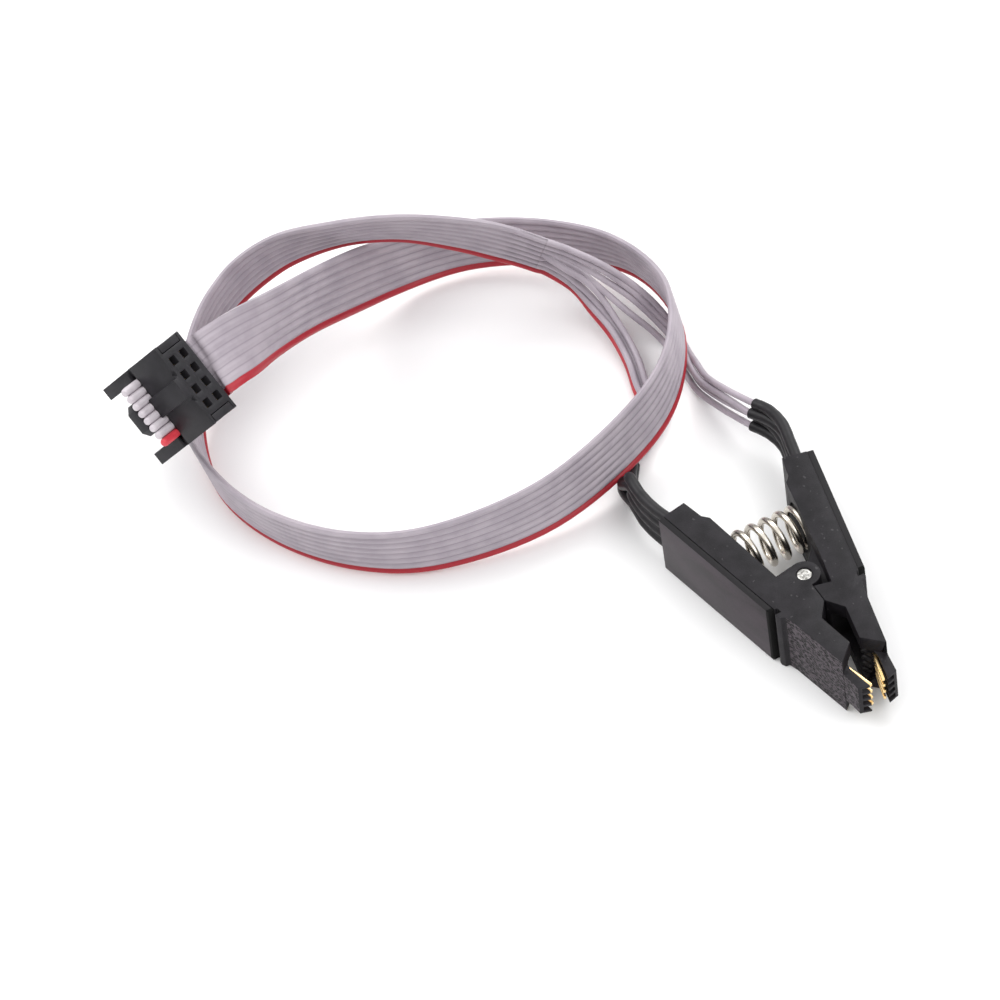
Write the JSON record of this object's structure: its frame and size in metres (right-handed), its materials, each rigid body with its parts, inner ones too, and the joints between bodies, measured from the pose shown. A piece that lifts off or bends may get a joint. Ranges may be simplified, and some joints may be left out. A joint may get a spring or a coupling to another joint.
{
  "type": "test clip",
  "caption": "Spring-loaded test clip with fine gold contacts in its jaws, covered handles, sleeved wires and a flat ribbon lead that ends in a keyed two-row socket.",
  "frame": {"origin": "centre of the clip's box at its lower cheek face, cords left out", "axes": "+X towards the jaw tips, +Z along the pivot, upwards"},
  "size_m": [0.116, 0.0844, 0.0299],
  "materials": {
    "housing_plastic": "fine moulded texture",
    "cover_plastic": "smooth satin",
    "pin_steel": "turned",
    "spring_nickel": "bright nickel plate",
    "contact_gold": "gold plate",
    "shrink_sleeve": "satin",
    "insulation_grey": "satin",
    "insulation_red": "satin",
    "socket_plastic": "satin"
  },
  "bodies": {
    "left_half": {"left_housing": "housing_plastic", "left_cover": "cover_plastic", "left_comb": "housing_plastic", "left_contact_1": "contact_gold", "left_contact_2": "contact_gold", "left_contact_3": "contact_gold", "left_contact_4": "contact_gold", "pivot_pin": "pin_steel", "spring": "spring_nickel", "left_sleeve_1": "shrink_sleeve", "left_sleeve_2": "shrink_sleeve", "left_sleeve_3": "shrink_sleeve", "left_sleeve_4": "shrink_sleeve", "left_wire_1": "insulation_red", "left_wire_2": "insulation_grey", "left_wire_3": "insulation_grey", "left_wire_4": "insulation_grey", "right_wire_1": "insulation_grey", "right_wire_2": "insulation_grey", "right_wire_3": "insulation_grey", "right_wire_4": "insulation_grey", "ribbon_cable": "insulation_grey", "ribbon_end": "insulation_grey", "socket_body": "socket_plastic", "socket_cover": "socket_plastic", "socket_contact_1": "contact_gold", "socket_contact_2": "contact_gold", "socket_contact_3": "contact_gold", "socket_contact_4": "contact_gold", "socket_contact_5": "contact_gold", "socket_contact_6": "contact_gold", "socket_contact_7": "contact_gold", "socket_contact_8": "contact_gold"},
    "right_half": {"right_housing": "housing_plastic", "right_cover": "cover_plastic", "right_comb": "housing_plastic", "right_contact_1": "contact_gold", "right_contact_2": "contact_gold", "right_contact_3": "contact_gold", "right_contact_4": "contact_gold", "right_sleeve_1": "shrink_sleeve", "right_sleeve_2": "shrink_sleeve", "right_sleeve_3": "shrink_sleeve", "right_sleeve_4": "shrink_sleeve"}
  },
  "joints": [
    {"name": "jaw_hinge", "type": "hinge", "parent": "left_half", "child": "right_half", "pos_m": [0.00015, 0, 0.0051], "axis": [0, 0, 1], "range_deg": [0, 25], "stiffness_Nm_per_rad": 0.12, "springref_deg": -28.65, "deforming": ["spring"]}
  ]
}
